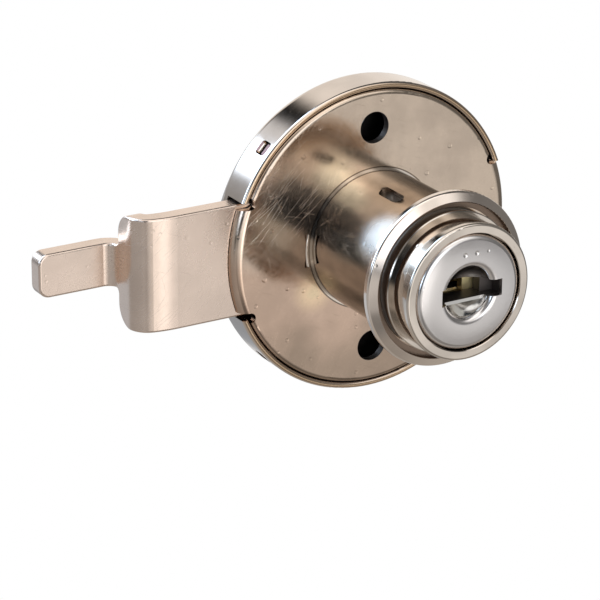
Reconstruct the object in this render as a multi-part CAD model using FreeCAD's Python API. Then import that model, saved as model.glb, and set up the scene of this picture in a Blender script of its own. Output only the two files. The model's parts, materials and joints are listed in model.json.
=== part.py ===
import FreeCAD, Part
import math
import os
from FreeCAD import Vector

# Round-case furniture cam lock with a cranked bolt.
# Millimetres. The barrel's axis is Y. The key goes in at -Y, +Z is up, and the bolt leaves the case at -X.
# The origin is where the barrel's axis meets the front plate's face, which lies on the door's inner face.

# ---- case and front plate ----
CASE_R = 20.0
CASE_WALL = 0.8
CASE_BACK = 5.84
CASE_BACK_WALL = 1.0
CASE_RIM_Y = 0.08
CASE_CORNER_R = 1.4
RIM_ROUND_R = 0.4
WINDOW_INNER_X = 14.0
BOLT_WINDOW_HALF = 7.65
BOLT_WINDOW_Y = 3.75
TAB_WINDOW_HALF = 6.95
TAB_WINDOW_Y = 1.25
PLATE_R = 19.12
PLATE_T = 1.0
PLATE_EDGE_IN = 0.62
PLATE_EDGE_MID = (0.14, 0.2)
PLATE_EDGE_Y = 0.65
PLATE_HOLE_R = 9.25
TAB_INNER_X = 15.5
TAB_R = 19.97
TAB_HALF = 6.7
TAB_EDGE_MID = (0.42, 0.36)
TAB_LIP_Y = 1.08
TAB_LIP_T = 0.9
TAB_LIP_ROOT = 1.3
NOTCH_R = 0.72
NOTCH_Z = 7.4
NOTCH_FLOOR_X = 16.75
LUG_ANGLES = (43.0, 137.0, 223.0, 317.0)
LUG_W = 1.5
LUG_Y0, LUG_Y1 = 1.15, 2.7
LUG_INNER_R = 18.15
LUG_TIP_R = 19.62
LUG_WINDOW_W = 1.9
LUG_BARB_L = 0.6
LUG_WINDOW_Y0, LUG_WINDOW_Y1 = 0.95, 2.95
LUG_WINDOW_CORNER_R = 0.5
SCREW_HOLE_R = 2.0
SCREW_HOLE_Z = 14.4
CASE_HOLE_R = 1.6
GUIDE_RIB_Z = 4.6
GUIDE_RIB_W = 1.8
GUIDE_RIB_L = 24.0
GUIDE_RIB_DEPTH = 0.7
GUIDE_RIB_WALL = 0.4
GUIDE_CLEARANCE = 0.12
RIVET_CLEARANCE = 0.05
KEY_LUG_CLEARANCE = 0.05

# ---- barrel ----
BARREL_R = 8.95
BARREL_FRONT_Y = -21.5
BARREL_NECK_R = 8.42
BARREL_SHOULDER_Y = -17.65
BARREL_RIM_R = 8.6
BARREL_RIM_Y = -20.75
COLLAR_GROOVE_Y = (-17.25, -15.7)
COLLAR_GROOVE_R = 8.75
FOOT_R = 9.2
FOOT_Y = 0.0
BARREL_EDGE = 0.12
RIM_STEP = 0.25
RIM_EDGE_Y = 0.3
RIM_EDGE_MID = (0.1, 0.08)
RIM_EDGE_IN = 0.32
BORE_EDGE = 0.08
SEAM_ANGLE = -90.0
BORE_R = 6.55
HEAD_BORE_R = 7.4
HEAD_BORE_FLOOR_Y = -19.1
TAIL_BORE_R = 7.8
TAIL_BORE_FLOOR_Y = -1.4
KEY_LUG_R = 9.75
KEY_LUG_HALF = 2.1
KEY_LUG_ROUND_R = 0.3
GROOVE_HALF = 2.8
GROOVE_R = 7.45
GROOVE_FRONT_Y = -18.6
DIMPLE_ANGLE = 106.5
DIMPLE_Y = (-10.2, -5.9)
DIMPLE_W = 1.7
DIMPLE_DEPTH = 0.9
STOP_ANGLE = -90.0
STOP_HALF_ANGLE = 8.0
STOP_INNER_R = 6.95
STOP_ROOT = 0.4
TENON_Z = 7.45
TENON_NECK_HALF = 3.0
TENON_NECK_Z = (7.55, 8.7)
TENON_HEAD_T = 0.5
TENON_HEAD_GROW = 0.28
TENON_HEAD_ROUND_R = 0.3

# ---- trim collar ----
COLLAR_R = 11.05
COLLAR_BORE_R = 9.1
COLLAR_REAR_Y = -15.75
COLLAR_FLOOR_T = 0.5
COLLAR_CREST_R = 9.85
COLLAR_CREST_Y = -17.08
COLLAR_CREST_ROUND = 0.1
COLLAR_EDGE_R = 10.8
COLLAR_EDGE_Y = -16.62
COLLAR_EDGE_MID = (10.98, -16.48)
COLLAR_LIP_Y = -16.3
COLLAR_LIP_W = 0.45

# ---- plug and its face cap ----
PLUG_R = 6.5
PLUG_REAR_Y = -1.35
PLUG_HEAD_R = 6.9
PLUG_HEAD_Y = -19.15
PLUG_HEAD_EDGE_Y = -20.8
PLUG_HEAD_EDGE_R = 6.3
PLUG_FRONT_Y = -21.35
TAIL_R = 2.6
TAIL_FLAT = 2.0
TAIL_RECESS = 0.02
CAP_R = 7.28
CAP_FRONT_Y = -21.8
CAP_T = 0.43
CAP_EDGE_R = 0.85
CAP_CROWN = 0.2
CAP_CROWN_BOW = 0.03
CAP_EDGE_TILT = 8.0
CAP_SLIP = 0.03
CAP_SKIRT_Y = -19.4
MOUTH_LIP_R = 0.85
CAP_SLOT_X = (-3.9, 4.6)
CAP_SLOT_END_Y = -19.6
KEYWAY_X = (-3.9, 2.8)
KEYWAY_HALF = 1.05
KEYWAY_END_Y = -4.4
DISH_R = 3.15
DISH_DEPTH = 2.0
KEYWAY_RIB_T = 0.42
KEYWAY_RIB_Y = -20.6
DOT_XS = (-0.75, 0.9, 2.55)
DOT_Z = 4.95
DOT_R = 0.38
DOT_DEPTH = 0.14

# ---- wafers and their springs ----
WAFER_YS = (-17.5, -14.7, -11.9, -9.1, -6.3)
WAFER_SIDES = (1, -1, 1, -1, 1)
WAFER_CODES = (-2, 1, 0, 2, -1)
WAFER_CODE_STEP = 0.35
WAFER_T = 1.1
WAFER_SLOT_T = 1.2
WAFER_HALF = 2.5
WAFER_SLOT_HALF = 2.6
WAFER_R = 6.42
WAFER_WINDOW_X = -0.5
WAFER_WINDOW_L = 5.0
WAFER_WINDOW_HALF = 1.2
WAFER_WINDOW_CORNER_R = 0.25
EAR_X = (2.35, 3.05)
EAR_TOP = 3.75
POCKET_X = (-2.3, 3.95)
POCKET_TOP = 3.9
SPRING_COIL_R = 0.4
SPRING_WIRE_R = 0.1
SPRING_PITCH = 0.5
SPRING_X = (-2.2, 2.25)
SPRING_Z = 3.25

# ---- crank ----
CRANK_R = 5.0
CRANK_ANGLE = 135.0
CRANK_PIN_R = 1.2
CRANK_PIN_NECK_R = 0.9
CRANK_PIN_END_Y = 3.45
CRANK_PIN_TIP = 0.2
DISC_R = 7.6
DISC_REAR_Y = -0.15
DISC_CLEARANCE = 0.1
DISC_SLIP = 0.03
STOP_MARGIN = 1.5
WASHER_R = 3.2
WASHER_T = 0.3
WASHER_CLEARANCE = 0.15
SCREW_HEAD_R = 2.4
SCREW_HEAD_T = 0.75
SCREW_HEAD_ROUND_R = 0.25
SCREW_SLOT = (0.6, 0.4)
SCREW_SHANK_R = 1.4
SCREW_LENGTH = 3.6
TURN_DEG = 90.0

# ---- bolt ----
BOLT_T = 2.3
BOLT_FRONT_Y = 1.2
BOLT_HALF = 7.3
BOLT_TAIL_X = 9.5
BOLT_LEG_X = -32.2
BOLT_BEND_R = 2.8
BOLT_EASE_R = 14.0
BOLT_EASE_DEG = 13.0
BOLT_LEG_END_Y = 6.6
BOLT_LEG_CORNER_R = 2.8
TONGUE_FRONT_Y = 7.9
TONGUE_HALF = 2.8
TONGUE_BEND_R = 1.3
TONGUE_END_X = -42.1
TONGUE_CORNER_R = 1.4
TONGUE_ROOT_R = 0.7
BOLT_TAIL_CORNER_R = 1.5
BOLT_EDGE_R = 0.3
CRANK_SLOT_SIDE = 0.2
CRANK_SLOT_END = 0.15
CRANK_SLOT_CORNER_R = 0.5

# ---- modelling ----
BEYOND = 2.0
TOUCHING = 1e-6

X_AXIS = Vector(1, 0, 0)
Y_AXIS = Vector(0, 1, 0)
ORIGIN = Vector(0, 0, 0)


def disc(r, y0, y1, x=0.0, z=0.0):
    """A cylinder along Y from y0 to y1."""
    return Part.makeCylinder(r, y1 - y0, Vector(x, y0, z), Y_AXIS)


def block(x0, x1, y0, y1, z0, z1):
    """A box between two corners."""
    return Part.makeBox(x1 - x0, y1 - y0, z1 - z0, Vector(x0, y0, z0))


def about_y(shape, degrees):
    """A copy turned about the barrel's axis, from +X towards +Z."""
    copy = shape.copy()
    copy.rotate(ORIGIN, Y_AXIS, -degrees)
    return copy


def wire_of(steps):
    """A closed wire in the XY plane. Each step is a point, or a pair (point on the arc, arc's end)."""
    edges = []
    here = Vector(*steps[0], 0)
    for step in steps[1:] + steps[:1]:
        if isinstance(step[0], tuple):
            middle = Vector(*step[0], 0)
            end = Vector(*step[1], 0)
            edges.append(Part.Arc(here, middle, end).toShape())
        else:
            end = Vector(*step, 0)
            if end.distanceToPoint(here) < TOUCHING:
                continue
            edges.append(Part.LineSegment(here, end).toShape())
        here = end
    return Part.Wire(edges)


def turned(steps):
    """A solid of revolution about Y from a closed outline of (radius, y) steps."""
    return Part.Face(wire_of(steps)).revolve(ORIGIN, Y_AXIS, 360)


def extruded(steps, z0, z1):
    """A prism along Z from a closed outline of (x, y) steps."""
    prism = Part.Face(wire_of(steps)).extrude(Vector(0, 0, z1 - z0))
    prism.translate(Vector(0, 0, z0))
    return prism


def corner(centre, r, degrees):
    """A point on a circle in the XY plane."""
    angle = math.radians(degrees)
    return (centre[0] + r * math.cos(angle), centre[1] + r * math.sin(angle))


def one_solid(shape):
    """The single solid of a shape, cleaned of seams between merged faces."""
    clean = shape.removeSplitter()
    solids = clean.Solids
    if len(solids) != 1:
        raise ValueError("expected one solid, got %d" % len(solids))
    return solids[0]


def sector(r0, r1, y0, y1, degrees, half):
    """A wedge of a ring, centred on an angle measured from +X towards +Z."""
    ring = disc(r1, y0, y1).cut(disc(r0, y0, y1))
    reach = 3 * r1
    a = math.radians(half)
    wedge = Part.makePolygon([
        ORIGIN,
        Vector(reach * math.cos(a), 0, reach * math.sin(a)),
        Vector(reach * math.cos(a), 0, -reach * math.sin(a)),
        ORIGIN,
    ])
    prism = Part.Face(wedge).extrude(Vector(0, y1 - y0, 0))
    prism.translate(Vector(0, y0, 0))
    return ring.common(about_y(prism, degrees))


def make_case_cup():
    """Drawn cup: round wall, flat back, bolt windows on both sides and windows for the plate's lugs."""
    inner_r = CASE_R - CASE_WALL
    floor_y = CASE_BACK - CASE_BACK_WALL
    inner_corner = CASE_CORNER_R - CASE_WALL
    outer_centre = (CASE_R - CASE_CORNER_R, CASE_BACK - CASE_CORNER_R)
    inner_centre = (inner_r - inner_corner, floor_y - inner_corner)
    rim_centre = (CASE_R - RIM_ROUND_R, CASE_RIM_Y + RIM_ROUND_R)
    cup = turned([
        (0, CASE_BACK),
        (outer_centre[0], CASE_BACK),
        (corner(outer_centre, CASE_CORNER_R, 45), (CASE_R, outer_centre[1])),
        (CASE_R, rim_centre[1]),
        (corner(rim_centre, RIM_ROUND_R, -90), (inner_r, rim_centre[1])),
        (inner_r, inner_centre[1]),
        (corner(inner_centre, inner_corner, 45), (inner_centre[0], floor_y)),
        (0, floor_y),
    ])
    for side, half, deep in ((1, TAB_WINDOW_HALF, TAB_WINDOW_Y), (-1, BOLT_WINDOW_HALF, BOLT_WINDOW_Y)):
        x0, x1 = sorted((side * WINDOW_INNER_X, side * (CASE_R + BEYOND)))
        cup = cup.cut(block(x0, x1, -BEYOND, deep, -half, half))
    for angle in LUG_ANGLES:
        half = LUG_WINDOW_W / 2
        window = block(CASE_R - BEYOND, CASE_R + BEYOND, LUG_WINDOW_Y0, LUG_WINDOW_Y1, -half, half)
        corners = [e for e in window.Edges if runs_along(e, X_AXIS)]
        cup = cup.cut(about_y(window.makeFillet(LUG_WINDOW_CORNER_R, corners), angle))
    for side in (1, -1):
        cup = cup.cut(disc(CASE_HOLE_R, 0, CASE_BACK + BEYOND, 0, side * SCREW_HOLE_Z))
        z0, z1 = sorted((side * TENON_NECK_Z[0], side * TENON_NECK_Z[1]))
        slip = RIVET_CLEARANCE
        half = TENON_NECK_HALF + slip
        cup = cup.cut(block(-half, half, floor_y - BEYOND, CASE_BACK + BEYOND, z0 - slip, z1 + slip))
        cup = add_guide_rib(cup, side * GUIDE_RIB_Z, floor_y)
    return one_solid(cup)


def add_guide_rib(cup, z, floor_y):
    """A rib pressed inwards from the case's back, which keeps the bolt up against the plate."""
    top_y = BOLT_FRONT_Y + BOLT_T + GUIDE_CLEARANCE
    wall = 2 * GUIDE_RIB_WALL
    rib = stadium(GUIDE_RIB_L, GUIDE_RIB_W, top_y, (floor_y + CASE_BACK) / 2, z)
    bottom_y = CASE_BACK - GUIDE_RIB_DEPTH
    groove = stadium(GUIDE_RIB_L - wall, GUIDE_RIB_W - wall, bottom_y, CASE_BACK + BEYOND, z)
    return cup.fuse(rib).cut(groove)


def stadium(length, width, y0, y1, z, x=0.0):
    """A long rounded bar lying along X."""
    r = width / 2
    reach = length / 2 - r
    bar = block(x - reach, x + reach, y0, y1, z - r, z + r)
    return bar.fuse([disc(r, y0, y1, x - reach, z), disc(r, y0, y1, x + reach, z)]).removeSplitter()


def runs_along(edge, direction):
    """True for a straight edge parallel to a direction."""
    if not isinstance(edge.Curve, Part.Line):
        return False
    return abs(abs(edge.Curve.Direction.dot(direction)) - 1) < TOUCHING


def make_front_plate():
    """Cover plate with a rounded edge, tabs that fill the bolt windows, and lugs bent back into the case."""
    plate = turned([
        (0, 0),
        (PLATE_R - PLATE_EDGE_IN, 0),
        ((PLATE_R - PLATE_EDGE_MID[0], PLATE_EDGE_MID[1]), (PLATE_R, PLATE_EDGE_Y)),
        (PLATE_R, PLATE_T),
        (0, PLATE_T),
    ])
    tab_disc = turned([
        (0, 0),
        (PLATE_R - PLATE_EDGE_IN, 0),
        ((TAB_R - TAB_EDGE_MID[0], TAB_EDGE_MID[1]), (TAB_R, TAB_LIP_Y)),
        (TAB_R - TAB_LIP_T, TAB_LIP_Y),
        (TAB_R - TAB_LIP_ROOT, PLATE_T),
        (0, PLATE_T),
    ])
    for side in (1, -1):
        x0, x1 = sorted((side * TAB_INNER_X, side * (TAB_R + BEYOND)))
        plate = plate.fuse(tab_disc.common(block(x0, x1, -BEYOND, BEYOND, -TAB_HALF, TAB_HALF)))
    for side_x in (1, -1):
        for side_z in (1, -1):
            plate = plate.cut(corner_notch(side_x, side_z))
    for angle in LUG_ANGLES:
        plate = plate.fuse(about_y(bent_lug(), angle))
    plate = plate.cut(disc(PLATE_HOLE_R, -BEYOND, BEYOND))
    half = KEY_LUG_HALF + KEY_LUG_CLEARANCE
    for side in (1, -1):
        plate = plate.cut(disc(SCREW_HOLE_R, -BEYOND, BEYOND, 0, side * SCREW_HOLE_Z))
        x0, x1 = sorted((0, side * (KEY_LUG_R + KEY_LUG_CLEARANCE)))
        plate = plate.cut(block(x0, x1, -BEYOND, BEYOND, -half, half))
    return one_solid(plate)


def corner_notch(side_x, side_z):
    """Relief notch where a tab meets the round edge."""
    x = side_x * (NOTCH_FLOOR_X + NOTCH_R)
    z = side_z * NOTCH_Z
    x0, x1 = sorted((x, side_x * (TAB_R + BEYOND)))
    opening = block(x0, x1, -BEYOND, BEYOND, z - NOTCH_R, z + NOTCH_R)
    return disc(NOTCH_R, -BEYOND, BEYOND, x, z).fuse(opening)


def bent_lug():
    """Ear bent back from the plate's edge, with a nib that snaps into the case wall. It is made at +X."""
    middle_r = (LUG_INNER_R + PLATE_R) / 2
    ear = block(LUG_INNER_R, PLATE_R, PLATE_EDGE_Y, LUG_Y1, -LUG_W / 2, LUG_W / 2)
    nib = extruded([
        (middle_r, LUG_Y0),
        (LUG_TIP_R, LUG_Y0),
        (LUG_TIP_R, LUG_Y1 - LUG_BARB_L),
        (PLATE_R, LUG_Y1),
        (middle_r, LUG_Y1),
    ], -LUG_W / 2, LUG_W / 2)
    return ear.fuse(nib)


def make_barrel():
    """Die-cast barrel: stepped bore, wafer grooves, key lugs and two tenons riveted through the case."""
    rim_middle = (BARREL_RIM_R - RIM_EDGE_MID[0], BARREL_FRONT_Y + RIM_EDGE_MID[1])
    body = turned([
        (BORE_R, TAIL_BORE_FLOOR_Y),
        (TAIL_BORE_R, TAIL_BORE_FLOOR_Y),
        (TAIL_BORE_R, PLATE_T),
        (FOOT_R, PLATE_T),
        (FOOT_R, FOOT_Y),
        (BARREL_R, FOOT_Y),
        (BARREL_R, COLLAR_GROOVE_Y[1]),
        (COLLAR_GROOVE_R, COLLAR_GROOVE_Y[1]),
        (COLLAR_GROOVE_R, COLLAR_GROOVE_Y[0]),
        (BARREL_R, COLLAR_GROOVE_Y[0]),
        (BARREL_R, BARREL_SHOULDER_Y + BARREL_EDGE),
        (BARREL_R - BARREL_EDGE, BARREL_SHOULDER_Y),
        (BARREL_NECK_R, BARREL_SHOULDER_Y),
        (BARREL_NECK_R, BARREL_RIM_Y + RIM_STEP),
        (BARREL_RIM_R, BARREL_RIM_Y),
        (BARREL_RIM_R, BARREL_FRONT_Y + RIM_EDGE_Y),
        (rim_middle, (BARREL_RIM_R - RIM_EDGE_IN, BARREL_FRONT_Y)),
        (HEAD_BORE_R + BORE_EDGE, BARREL_FRONT_Y),
        (HEAD_BORE_R, BARREL_FRONT_Y + BORE_EDGE),
        (HEAD_BORE_R, HEAD_BORE_FLOOR_Y),
        (BORE_R, HEAD_BORE_FLOOR_Y),
    ])
    body = about_y(body, SEAM_ANGLE)
    for side in (1, -1):
        x0, x1 = sorted((side * (TAIL_BORE_R + BARREL_R) / 2, side * (KEY_LUG_R + BEYOND)))
        lug = block(x0, x1, FOOT_Y, PLATE_T, -KEY_LUG_HALF, KEY_LUG_HALF)
        lug = lug.common(disc(KEY_LUG_R, -BEYOND, BEYOND))
        arcs = [e for e in lug.Edges if isinstance(e.Curve, Part.Circle)]
        front = [e for e in arcs if abs(e.CenterOfMass.y - FOOT_Y) < TOUCHING]
        body = body.fuse(lug.makeFillet(KEY_LUG_ROUND_R, front))
        body = body.fuse(make_tenon(side))
    groove = disc(GROOVE_R, GROOVE_FRONT_Y, TAIL_BORE_FLOOR_Y)
    groove = groove.common(block(0, GROOVE_R, GROOVE_FRONT_Y, TAIL_BORE_FLOOR_Y, -GROOVE_HALF, GROOVE_HALF))
    for quarter in range(4):
        body = body.cut(about_y(groove, 90 * quarter))
    body = body.cut(make_dimple())
    stop_root = (TAIL_BORE_R + BARREL_R) / 2
    stop = sector(STOP_INNER_R, stop_root, TAIL_BORE_FLOOR_Y - STOP_ROOT, DISC_REAR_Y - DISC_CLEARANCE,
                  STOP_ANGLE, STOP_HALF_ANGLE)
    return one_solid(body.fuse(stop))


def make_tenon(side):
    """A tenon at the top or bottom: it guides the bolt, goes through the case's back and is riveted over."""
    floor_y = CASE_BACK - CASE_BACK_WALL
    z0, z1 = sorted((side * TENON_Z, side * FOOT_R))
    root = disc(FOOT_R, FOOT_Y, floor_y).common(block(-FOOT_R, FOOT_R, FOOT_Y, floor_y, z0, z1))
    z0, z1 = sorted((side * TENON_NECK_Z[0], side * TENON_NECK_Z[1]))
    grow = TENON_HEAD_GROW
    far_y = CASE_BACK + TENON_HEAD_T
    neck = block(-TENON_NECK_HALF, TENON_NECK_HALF, PLATE_T, (CASE_BACK + far_y) / 2, z0, z1)
    head = block(-TENON_NECK_HALF - grow, TENON_NECK_HALF + grow, CASE_BACK, far_y, z0 - grow, z1 + grow)
    rim = [e for e in head.Edges if all(abs(v.Point.y - far_y) < TOUCHING for v in e.Vertexes)]
    return root.fuse([neck, head.makeFillet(TENON_HEAD_ROUND_R, rim)])


def make_dimple():
    """Cutter for the oval dimple in the barrel's upper side."""
    r = DIMPLE_W / 2
    low = BARREL_R - DIMPLE_DEPTH
    high = BARREL_R + BEYOND
    ends = [y + s * r for y, s in zip(DIMPLE_Y, (1, -1))]
    cutters = [Part.makeCylinder(r, high - low, Vector(low, y, 0), X_AXIS) for y in ends]
    middle = block(low, high, ends[0], ends[1], -r, r)
    return about_y(middle.fuse(cutters), DIMPLE_ANGLE)


def make_collar():
    """Dished trim ring: a conical face around a deep recess, on a thin floor that slides on the barrel."""
    floor_y = COLLAR_REAR_Y - COLLAR_FLOOR_T
    crest = (COLLAR_CREST_R + COLLAR_CREST_ROUND, COLLAR_CREST_Y + COLLAR_CREST_ROUND)
    return turned([
        (COLLAR_BORE_R, COLLAR_REAR_Y),
        (COLLAR_BORE_R, floor_y),
        (COLLAR_CREST_R, floor_y),
        (COLLAR_CREST_R, crest[1]),
        (corner(crest, COLLAR_CREST_ROUND, 225), (crest[0], COLLAR_CREST_Y)),
        (COLLAR_EDGE_R, COLLAR_EDGE_Y),
        (COLLAR_EDGE_MID, (COLLAR_R, COLLAR_LIP_Y)),
        (COLLAR_R, COLLAR_REAR_Y),
        (COLLAR_R - COLLAR_LIP_W, COLLAR_REAR_Y),
        (COLLAR_R - COLLAR_LIP_W, COLLAR_LIP_Y),
        (COLLAR_CREST_R + COLLAR_FLOOR_T, COLLAR_REAR_Y),
    ])


def make_plug():
    """Plug with its keyway, dished mouth, wafer slots, spring pockets and flatted tail."""
    tail_y = DISC_REAR_Y - TAIL_RECESS
    body = turned([
        (0, tail_y),
        (TAIL_R, tail_y),
        (TAIL_R, PLUG_REAR_Y),
        (PLUG_R, PLUG_REAR_Y),
        (PLUG_R, PLUG_HEAD_Y),
        (PLUG_HEAD_R, PLUG_HEAD_Y),
        (PLUG_HEAD_R, PLUG_HEAD_EDGE_Y),
        (PLUG_HEAD_EDGE_R, PLUG_FRONT_Y),
        (0, PLUG_FRONT_Y),
    ])
    for side in (1, -1):
        z0, z1 = sorted((side * TAIL_FLAT, side * (TAIL_R + BEYOND)))
        body = body.cut(block(-TAIL_R, TAIL_R, PLUG_REAR_Y, BEYOND, z0, z1))
    mouth_y = CAP_FRONT_Y + MOUTH_LIP_R
    body = body.cut(disc(DISH_R + MOUTH_LIP_R + CAP_SLIP, PLUG_FRONT_Y - BEYOND, mouth_y))
    body = body.cut(dish(mouth_y))
    rib = block(-DISH_R, DISH_R, KEYWAY_RIB_Y, mouth_y + DISH_DEPTH + KEYWAY_RIB_T,
                -KEYWAY_HALF - KEYWAY_RIB_T, -KEYWAY_HALF)
    body = body.fuse(rib.common(disc(DISH_R, BARREL_FRONT_Y, 0)))
    body = body.cut(block(*KEYWAY_X, PLUG_FRONT_Y - BEYOND, KEYWAY_END_Y, -KEYWAY_HALF, KEYWAY_HALF))
    body = body.cut(block(*CAP_SLOT_X, PLUG_FRONT_Y - BEYOND, CAP_SLOT_END_Y, -KEYWAY_HALF, KEYWAY_HALF))
    body = body.cut(disc(SCREW_SHANK_R, DISC_REAR_Y - SCREW_LENGTH, BEYOND))
    for y, side in zip(WAFER_YS, WAFER_SIDES):
        y0 = y - WAFER_SLOT_T / 2
        y1 = y + WAFER_SLOT_T / 2
        body = body.cut(block(-PLUG_HEAD_R, PLUG_HEAD_R, y0, y1, -WAFER_SLOT_HALF, WAFER_SLOT_HALF))
        x0, x1 = sorted(side * x for x in POCKET_X)
        body = body.cut(block(x0, x1, y0, y1, 0, POCKET_TOP))
    return one_solid(body)


def dish(mouth_y):
    """The round hollow behind the cap's mouth, a part of a sphere."""
    ball_r = (DISH_R ** 2 + DISH_DEPTH ** 2) / (2 * DISH_DEPTH)
    return Part.makeSphere(ball_r, Vector(0, mouth_y + DISH_DEPTH - ball_r, 0))


def make_plug_face():
    """Pressed cap over the plug's head, with a flared round mouth, the key slot and three punched dots."""
    inner_y = CAP_FRONT_Y + CAP_T
    inner_r = PLUG_HEAD_R + CAP_SLIP
    lip = (DISH_R + MOUTH_LIP_R, CAP_FRONT_Y + MOUTH_LIP_R)
    edge = (CAP_R - CAP_EDGE_R, CAP_FRONT_Y + CAP_CROWN + CAP_EDGE_R)
    edge_start = corner(edge, CAP_EDGE_R, CAP_EDGE_TILT - 90)
    crown_middle = ((lip[0] + edge_start[0]) / 2, (CAP_FRONT_Y + edge_start[1]) / 2 - CAP_CROWN_BOW)
    cap = turned([
        (lip[0], inner_y),
        (lip[0], lip[1]),
        (DISH_R, lip[1]),
        (corner(lip, MOUTH_LIP_R, 225), (lip[0], CAP_FRONT_Y)),
        (crown_middle, edge_start),
        (corner(edge, CAP_EDGE_R, (CAP_EDGE_TILT - 90) / 2), (CAP_R, edge[1])),
        (CAP_R, CAP_SKIRT_Y),
        (inner_r, CAP_SKIRT_Y),
        (inner_r, PLUG_HEAD_EDGE_Y),
        (PLUG_HEAD_EDGE_R, inner_y),
    ])
    cap = cap.cut(block(*CAP_SLOT_X, CAP_FRONT_Y - BEYOND, lip[1] + BEYOND, -KEYWAY_HALF, KEYWAY_HALF))
    ball_r = (DOT_R ** 2 + DOT_DEPTH ** 2) / (2 * DOT_DEPTH)
    for x in DOT_XS:
        cap = cap.cut(Part.makeSphere(ball_r, Vector(x, CAP_FRONT_Y + DOT_DEPTH - ball_r, DOT_Z)))
    return one_solid(cap)


def make_wafer(number):
    """One brass wafer, drawn in flush with the plug as the right key holds it."""
    y = WAFER_YS[number]
    side = WAFER_SIDES[number]
    y0 = y - WAFER_T / 2
    y1 = y + WAFER_T / 2
    wafer = disc(WAFER_R, y0, y1).common(block(-WAFER_R, WAFER_R, y0, y1, -WAFER_HALF, WAFER_HALF))
    x0, x1 = sorted(side * x for x in EAR_X)
    wafer = wafer.fuse(block(x0, x1, y0, y1, 0, EAR_TOP))
    centre = WAFER_WINDOW_X + WAFER_CODES[number] * WAFER_CODE_STEP
    window = block(centre - WAFER_WINDOW_L / 2, centre + WAFER_WINDOW_L / 2, y0, y1,
                   -WAFER_WINDOW_HALF, WAFER_WINDOW_HALF)
    corners = [e for e in window.Edges if runs_along(e, Y_AXIS)]
    return one_solid(wafer.cut(window.makeFillet(WAFER_WINDOW_CORNER_R, corners)))


def make_wafer_spring(number):
    """Small coil spring in the plug's pocket, which pushes the wafer's ear outwards."""
    length = SPRING_X[1] - SPRING_X[0] - 2 * SPRING_WIRE_R
    helix = Part.makeHelix(SPRING_PITCH, length, SPRING_COIL_R)
    section = Part.Wire(Part.makeCircle(SPRING_WIRE_R, Vector(SPRING_COIL_R, 0, 0), Y_AXIS))
    coil = Part.Wire(helix).makePipeShell([section], True, True)
    coil.rotate(ORIGIN, Y_AXIS, 90)
    coil.translate(Vector(SPRING_X[0] + SPRING_WIRE_R, WAFER_YS[number], SPRING_Z))
    if WAFER_SIDES[number] < 0:
        coil = coil.mirror(ORIGIN, Vector(1, 0, 0))
    return coil


def crank_place():
    """Centre of the crank pin at rest, as (x, z)."""
    angle = math.radians(CRANK_ANGLE)
    return CRANK_R * math.cos(angle), CRANK_R * math.sin(angle)


def make_crank_disc():
    """Disc on the plug's tail that carries the crank pin. Its cut-out and the stop limit the turn."""
    plate = disc(DISC_R, PLUG_REAR_Y, DISC_REAR_Y)
    hole_r = TAIL_R + DISC_SLIP
    flat = TAIL_FLAT + DISC_SLIP
    through = (PLUG_REAR_Y - BEYOND, DISC_REAR_Y + BEYOND)
    plate = plate.cut(disc(hole_r, *through).common(block(-hole_r, hole_r, *through, -flat, flat)))
    half = TURN_DEG / 2 + STOP_HALF_ANGLE + STOP_MARGIN
    middle = STOP_ANGLE + TURN_DEG / 2
    plate = plate.cut(sector(STOP_INNER_R - DISC_CLEARANCE, DISC_R + BEYOND, *through, middle, half))
    x, z = crank_place()
    return one_solid(plate.cut(disc(CRANK_PIN_NECK_R, *through, x, z)))


def make_crank_pin():
    """Shouldered pin riveted into the crank disc."""
    x, z = crank_place()
    neck = disc(CRANK_PIN_NECK_R, PLUG_REAR_Y, 0, x, z)
    pin = disc(CRANK_PIN_R, DISC_REAR_Y, CRANK_PIN_END_Y, x, z)
    tip = [e for e in pin.Edges if abs(e.CenterOfMass.y - CRANK_PIN_END_Y) < TOUCHING]
    return one_solid(pin.makeChamfer(CRANK_PIN_TIP, tip).fuse(neck))


def make_washer():
    """Washer between the crank disc and the plug's screw."""
    hole = disc(SCREW_SHANK_R + WASHER_CLEARANCE, -BEYOND, BEYOND)
    return disc(WASHER_R, DISC_REAR_Y, DISC_REAR_Y + WASHER_T).cut(hole)


def make_plug_screw():
    """Cheese-head screw that holds the crank disc on the plug's tail."""
    seat_y = DISC_REAR_Y + WASHER_T
    top_y = seat_y + SCREW_HEAD_T
    head = disc(SCREW_HEAD_R, seat_y, top_y)
    circles = [e for e in head.Edges if isinstance(e.Curve, Part.Circle)]
    rim = [e for e in circles if abs(e.CenterOfMass.y - top_y) < TOUCHING]
    head = head.makeFillet(SCREW_HEAD_ROUND_R, rim)
    slot_w, slot_d = SCREW_SLOT
    slot = block(-SCREW_HEAD_R, SCREW_HEAD_R, top_y - slot_d, top_y + BEYOND, -slot_w / 2, slot_w / 2)
    shank = disc(SCREW_SHANK_R, DISC_REAR_Y - SCREW_LENGTH, top_y - slot_d)
    return one_solid(head.cut(slot).fuse(shank))


def make_bolt():
    """Flat steel bolt, cranked back outside the case and narrowed to a tongue that points away from it."""
    body = bolt_side_profile().common(bolt_end_outline()).common(bolt_front_outline())
    body = one_solid(body)
    body = body.makeFillet(BOLT_EDGE_R, body.Edges)
    x, z = crank_place()
    half = CRANK_PIN_R + CRANK_SLOT_SIDE
    low = CRANK_R * math.cos(math.radians(TURN_DEG / 2)) - CRANK_PIN_R - CRANK_SLOT_END
    high = CRANK_R + CRANK_PIN_R + CRANK_SLOT_END
    slot = block(x - half, x + half, BOLT_FRONT_Y - BEYOND, BOLT_FRONT_Y + BOLT_T + BEYOND, low, high)
    corners = [e for e in slot.Edges if runs_along(e, Y_AXIS)]
    return one_solid(body.cut(slot.makeFillet(CRANK_SLOT_CORNER_R, corners)))


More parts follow.
